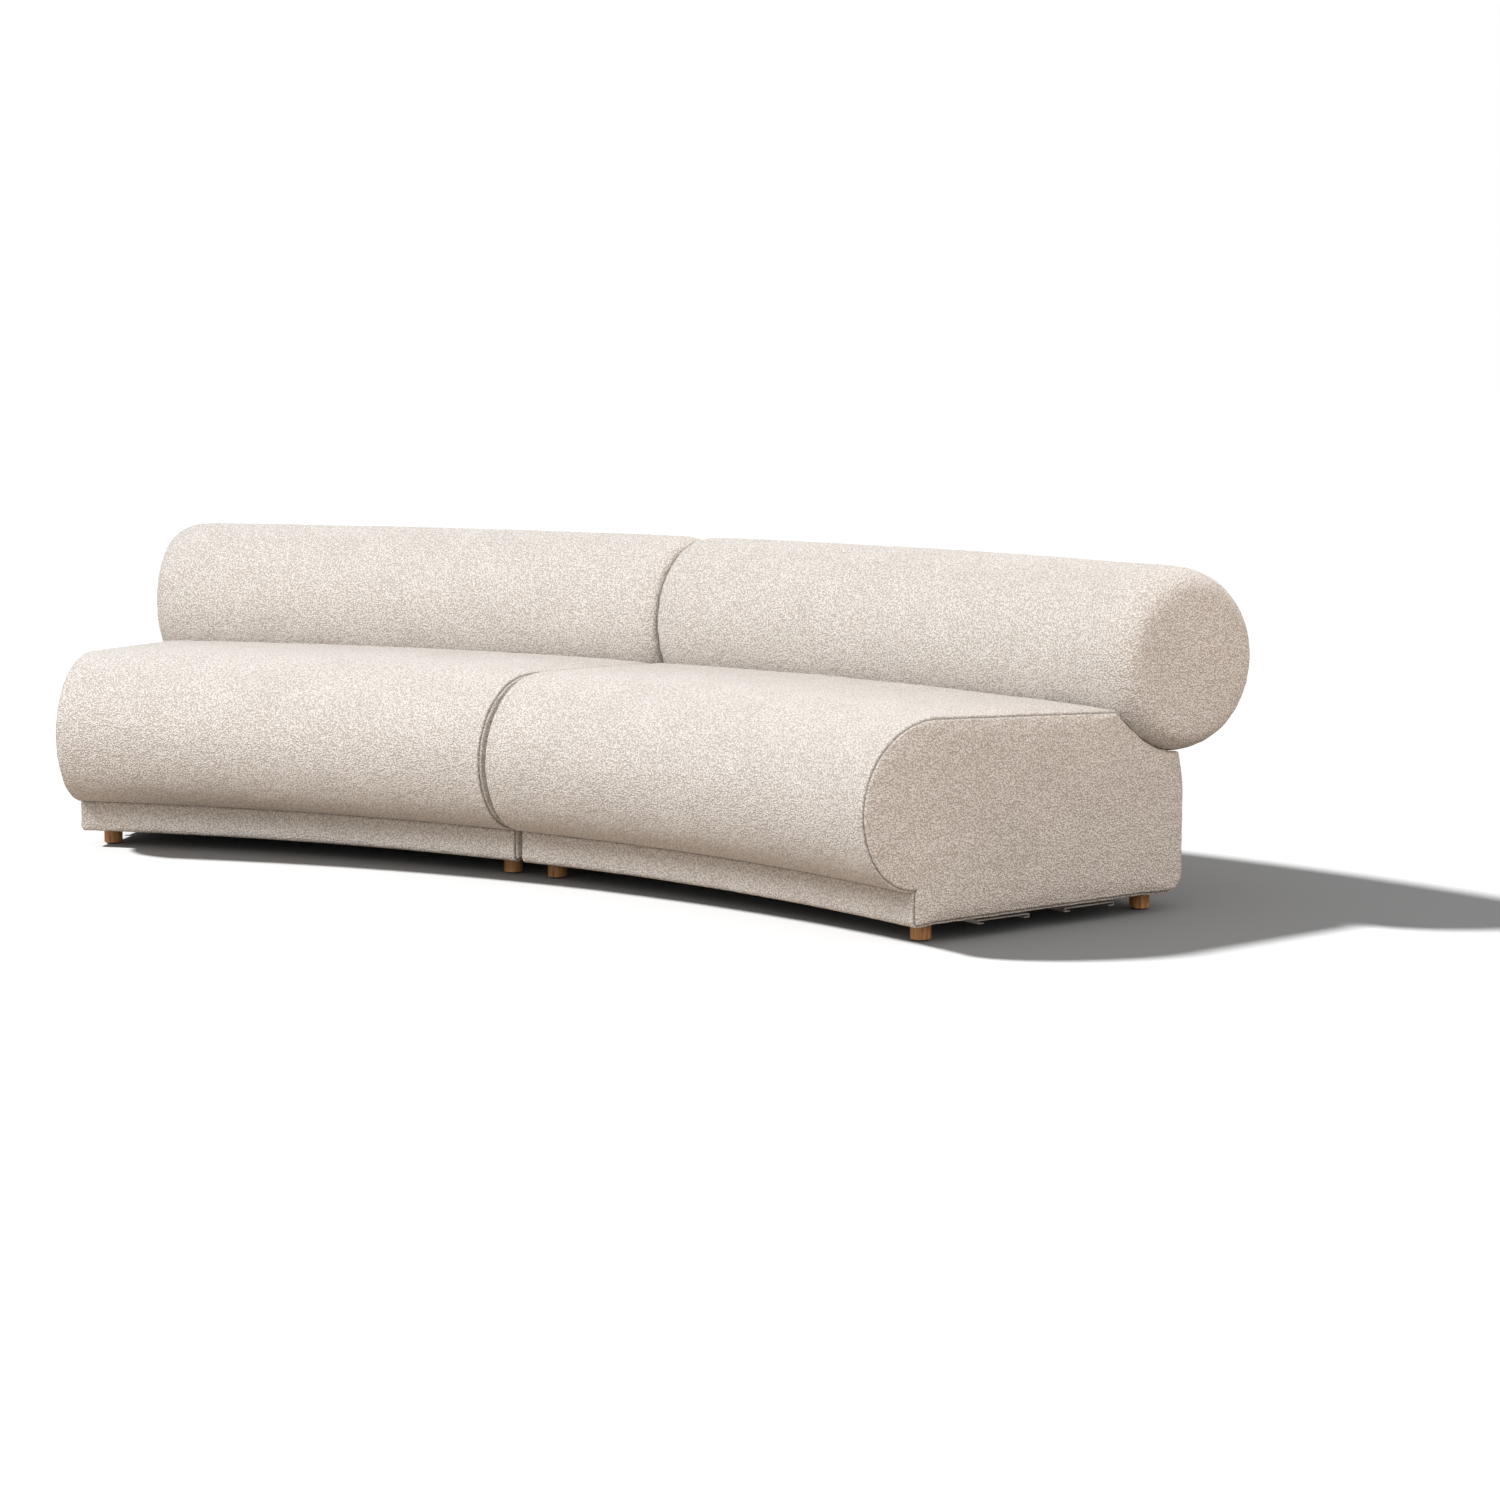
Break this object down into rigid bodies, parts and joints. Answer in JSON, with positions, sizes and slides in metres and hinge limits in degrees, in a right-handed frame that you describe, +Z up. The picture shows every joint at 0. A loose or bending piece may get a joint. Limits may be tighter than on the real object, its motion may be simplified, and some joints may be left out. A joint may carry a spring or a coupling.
{
  "type": "curved modular sofa",
  "caption": "Low curved sofa of linked modules with a round-nosed seat, a roll bolster as its back, a recessed plinth and short round wooden feet",
  "frame": {"origin": "on the floor, at the middle of the bounding box in plan", "axes": "+X to the right seen from the front, along the sofa's length; +Y towards the back; +Z up"},
  "size_m": [2.8512, 1.193, 0.695],
  "materials": {
    "boucle": "cream boucle with small looped curls, matt",
    "dust_cloth": "black non-woven dust cloth, matt",
    "webbing": "woven elastic webbing, matt",
    "foam": "open-cell upholstery foam, matt",
    "plywood": "raw birch plywood",
    "timber": "raw softwood timber",
    "foot_wood": "stained turned hardwood, satin",
    "black_steel": "black powder coat",
    "zinc_steel": "zinc-plated steel",
    "glide_felt": "dark plastic glide"
  },
  "bodies": {
    "left_module": {"left_seat_cover": "boucle", "left_plinth_band": "boucle", "left_back_panel": "boucle", "left_end_panel_inner": "boucle", "left_end_panel_outer": "boucle", "left_bolster_cover": "boucle", "left_base_board": "plywood", "left_plinth_rail": "plywood", "left_back_board": "plywood", "left_end_rib_inner": "plywood", "left_end_rib_outer": "plywood", "left_mid_ribs": "plywood", "left_seat_front_rail": "timber", "left_seat_rear_rail": "timber", "left_bolster_spine": "timber", "left_seat_foam": "foam", "left_bolster_foam": "foam", "left_foot_front_inner": "foot_wood", "left_foot_front_outer": "foot_wood", "left_foot_rear_inner": "foot_wood", "left_foot_rear_outer": "foot_wood", "left_bolster_brackets": "black_steel", "left_bracket_bolts": "zinc_steel", "left_foot_bolts": "zinc_steel", "left_tee_nuts": "zinc_steel", "left_link_receivers": "zinc_steel", "left_dust_cover": "dust_cloth", "left_seat_webbing": "webbing", "left_glides": "glide_felt", "link_plates": "black_steel"},
    "right_module": {"right_seat_cover": "boucle", "right_plinth_band": "boucle", "right_back_panel": "boucle", "right_end_panel_inner": "boucle", "right_end_panel_outer": "boucle", "right_bolster_cover": "boucle", "right_base_board": "plywood", "right_plinth_rail": "plywood", "right_back_board": "plywood", "right_end_rib_inner": "plywood", "right_end_rib_outer": "plywood", "right_mid_ribs": "plywood", "right_seat_front_rail": "timber", "right_seat_rear_rail": "timber", "right_bolster_spine": "timber", "right_seat_foam": "foam", "right_bolster_foam": "foam", "right_foot_front_inner": "foot_wood", "right_foot_front_outer": "foot_wood", "right_foot_rear_inner": "foot_wood", "right_foot_rear_outer": "foot_wood", "right_bolster_brackets": "black_steel", "right_bracket_bolts": "zinc_steel", "right_foot_bolts": "zinc_steel", "right_tee_nuts": "zinc_steel", "right_link_receivers": "zinc_steel", "right_dust_cover": "dust_cloth", "right_seat_webbing": "webbing", "right_glides": "glide_felt"}
  },
  "joints": [
    {"name": "module_slide", "type": "slide", "parent": "left_module", "child": "right_module", "axis": [1, 0, 0], "range_m": [0, 0.25]}
  ]
}
